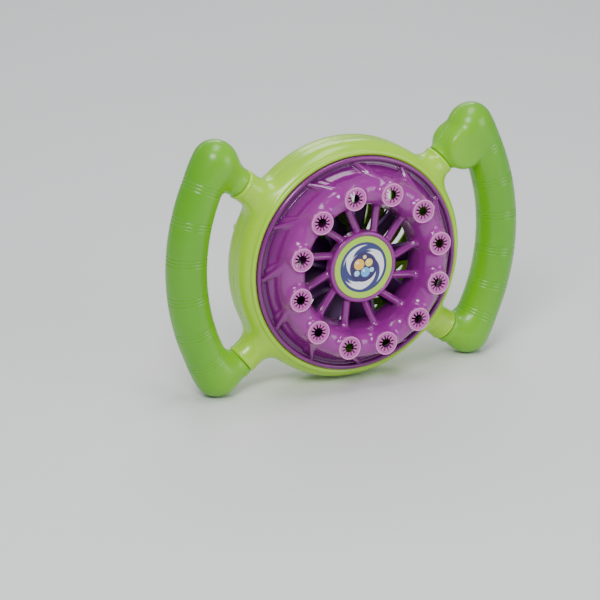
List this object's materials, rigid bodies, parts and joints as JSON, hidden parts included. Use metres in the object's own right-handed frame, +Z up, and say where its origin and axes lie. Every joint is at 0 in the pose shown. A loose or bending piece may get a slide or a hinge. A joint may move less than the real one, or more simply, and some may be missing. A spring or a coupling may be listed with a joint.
{
  "type": "bubble machine",
  "caption": "Hand-held steering wheel bubble blower: round fan housing with a crown of star-hole nozzles, two curved battery grips and a rear push button.",
  "frame": {"origin": "on the fan's axis, in the plane of the flat rear face of the housing", "axes": "+Z up, -Y out of the nozzles towards the front, +X across the two grips towards the grip that carries the button"},
  "size_m": [0.2474, 0.054, 0.168],
  "materials": {
    "cover_green": "glossy moulded lime green",
    "grip_green": "glossy moulded grass green",
    "door_green": "glossy moulded grass green",
    "disc_purple": "glossy moulded purple",
    "tip_pink": "satin pink mauve",
    "badge_film": "printed glossy label, coloured rings only",
    "fan_purple": "moulded dark purple",
    "steel": "plain drawn steel",
    "white_plastic": "matte white nylon",
    "brass": "plain brass",
    "capacitor_tan": "dipped ceramic disc",
    "black_plastic": "matte black",
    "screw_steel": "zinc plated",
    "cell_sleeve": "plain shrink sleeve",
    "spring_steel": "nickel plated wire",
    "contact_plate": "nickel plated strip",
    "button_magenta": "glossy moulded magenta purple",
    "board_green": "green solder mask",
    "wire_red": "red insulation",
    "wire_black": "black insulation"
  },
  "bodies": {
    "housing": {"rear_cover": "cover_green", "front_ring": "cover_green", "nozzle_disc": "disc_purple", "nozzle_tips": "tip_pink", "hub_badge": "badge_film", "motor_can": "steel", "motor_end_cap": "white_plastic", "motor_terminals": "brass", "motor_capacitor": "capacitor_tan", "motor_clamp": "black_plastic", "motor_screws": "screw_steel", "cover_screws": "screw_steel", "disc_screws": "screw_steel", "left_handle_front": "grip_green", "left_handle_rear": "grip_green", "right_handle_front": "grip_green", "right_handle_rear": "grip_green", "battery_cells": "cell_sleeve", "cell_springs": "spring_steel", "cell_contacts": "contact_plate", "button_spring": "spring_steel", "switch_body": "black_plastic", "switch_board": "board_green", "switch_screws": "screw_steel", "handle_screws": "screw_steel", "battery_lead": "wire_red", "motor_lead": "wire_black", "switch_lead": "wire_red", "link_lead": "wire_black"},
    "fan": {"fan_impeller": "fan_purple", "motor_shaft": "steel"},
    "button": {"power_button": "button_magenta", "switch_plunger": "white_plastic"},
    "left_door": {"left_battery_door": "door_green", "left_door_screw": "screw_steel"},
    "right_door": {"right_battery_door": "door_green", "right_door_screw": "screw_steel"}
  },
  "joints": [
    {"name": "fan_spin", "type": "hinge", "parent": "housing", "child": "fan", "pos_m": [0, 0, 0], "axis": [0, -1, 0], "continuous": true},
    {"name": "button_press", "type": "slide", "parent": "housing", "child": "button", "axis": [0, -1, 0], "range_m": [0, 0.0015], "stiffness_N_per_m": 400, "springref_m": -0.001, "deforming": ["button_spring"]},
    {"name": "left_door_off", "type": "slide", "parent": "housing", "child": "left_door", "axis": [0, 1, 0], "range_m": [0, 0.04]},
    {"name": "right_door_off", "type": "slide", "parent": "housing", "child": "right_door", "axis": [0, 1, 0], "range_m": [0, 0.04]}
  ]
}
